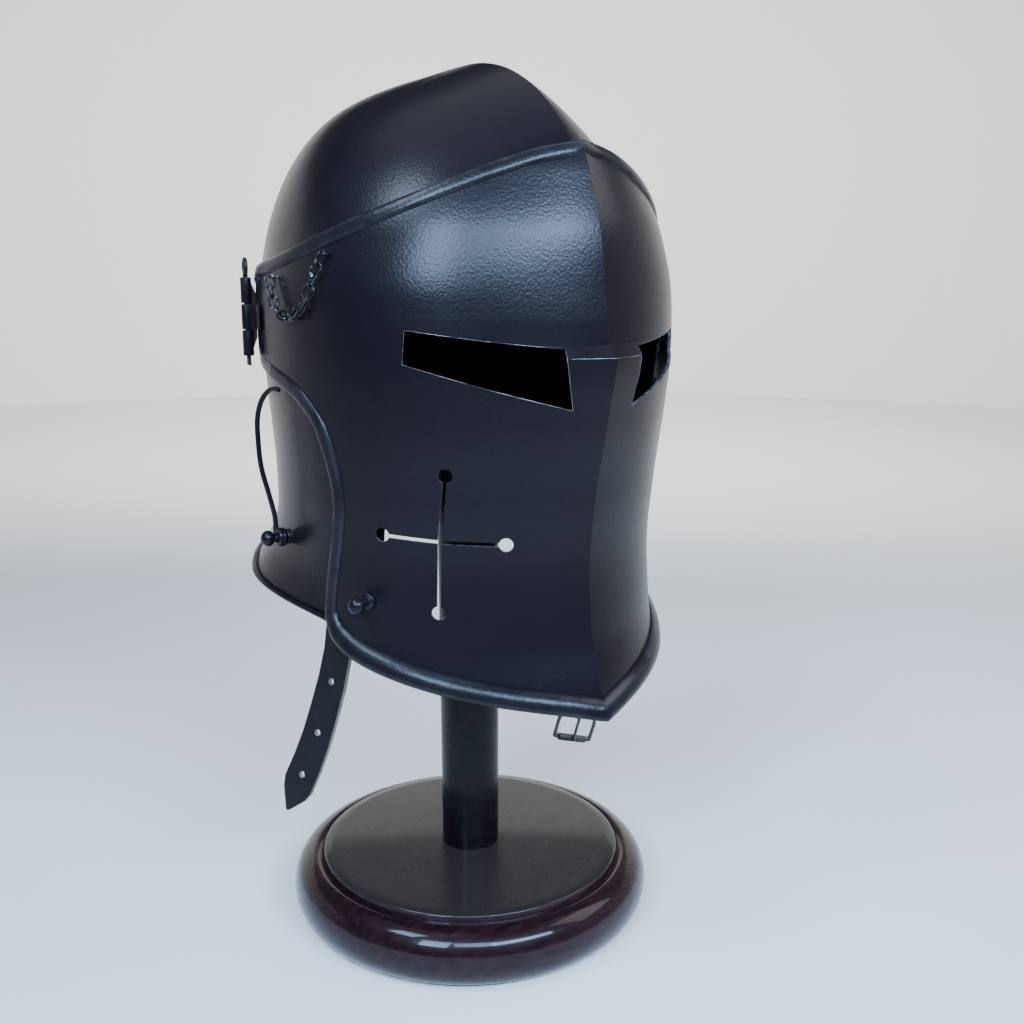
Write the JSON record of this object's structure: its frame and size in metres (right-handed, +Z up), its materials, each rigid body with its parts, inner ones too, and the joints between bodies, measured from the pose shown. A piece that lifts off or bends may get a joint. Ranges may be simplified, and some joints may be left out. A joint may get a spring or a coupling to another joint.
{
  "type": "visored barbute helmet on a turned display stand",
  "caption": "Steel barbute with a lifting visor, eye slits, a cross of breaths, chains, hook and chin strap, held up by a round post on a turned wooden base.",
  "frame": {"origin": "centre of the stand's underside", "axes": "+Z up along the post, -Y the way the face looks, -X the wearer's right"},
  "size_m": [0.2424, 0.2919, 0.5],
  "materials": {
    "black_steel": "satin black powder coat over steel",
    "chain_steel": "blackened steel, worn bright on the rubbing faces",
    "nickel": "dark nickel",
    "strap_leather": "black faced leather with raw edges",
    "lacquer": "dark mahogany lacquer, high gloss",
    "black_wood": "black gloss lacquer"
  },
  "bodies": {
    "stand_and_skull": {"stand_base": "lacquer", "stand_post": "black_wood", "skull": "black_steel", "pivot_rivet_right": "black_steel", "pivot_rivet_left": "black_steel", "lock_stud": "black_steel", "strap_right": "strap_leather", "strap_left": "strap_leather", "strap_rivet_right": "nickel", "strap_rivet_left": "nickel", "buckle_frame": "nickel"},
    "visor": {"visor": "black_steel", "hinge_plate_right": "black_steel", "hinge_plate_left": "black_steel", "hinge_leaf_right": "black_steel", "hinge_leaf_left": "black_steel", "hinge_pin_right": "black_steel", "hinge_pin_left": "black_steel", "visor_stud": "black_steel", "chain_right_01": "chain_steel", "chain_right_02": "chain_steel", "chain_right_03": "chain_steel", "chain_right_04": "chain_steel", "chain_right_05": "chain_steel", "chain_right_06": "chain_steel", "chain_right_07": "chain_steel", "chain_right_08": "chain_steel", "chain_right_09": "chain_steel", "chain_right_10": "chain_steel", "chain_right_11": "chain_steel", "chain_right_12": "chain_steel", "chain_right_13": "chain_steel", "chain_left_01": "chain_steel", "chain_left_02": "chain_steel", "chain_left_03": "chain_steel", "chain_left_04": "chain_steel", "chain_left_05": "chain_steel", "chain_left_06": "chain_steel", "chain_left_07": "chain_steel", "chain_left_08": "chain_steel", "chain_left_09": "chain_steel", "chain_left_10": "chain_steel", "chain_left_11": "chain_steel", "chain_left_12": "chain_steel", "chain_left_13": "chain_steel", "chain_staple_right_rear": "chain_steel", "chain_staple_right_front": "chain_steel", "chain_staple_left_rear": "chain_steel", "chain_staple_left_front": "chain_steel"},
    "hook": {"lock_hook": "black_steel"},
    "tongue": {"buckle_tongue": "nickel"},
    "roller": {"buckle_roller": "nickel"}
  },
  "joints": [
    {"name": "visor_lift", "type": "hinge", "parent": "stand_and_skull", "child": "visor", "pos_m": [0, 0.07104, 0.3645], "axis": [-1, 0, 0], "range_deg": [0, 70]},
    {"name": "hook_swing", "type": "hinge", "parent": "stand_and_skull", "child": "hook", "pos_m": [-0.10078, 0.02847, 0.242], "axis": [-0.9962, 0.0873, 0], "range_deg": [0, 100]},
    {"name": "tongue_swing", "type": "hinge", "parent": "stand_and_skull", "child": "tongue", "pos_m": [0.07486, -0.01437, 0.10736], "axis": [-0.9329, 0.25, 0.2593], "range_deg": [0, 100]},
    {"name": "roller_spin", "type": "hinge", "parent": "stand_and_skull", "child": "roller", "pos_m": [0.07112, -0.01187, 0.09149], "axis": [-0.9329, 0.25, 0.2593], "continuous": true}
  ]
}
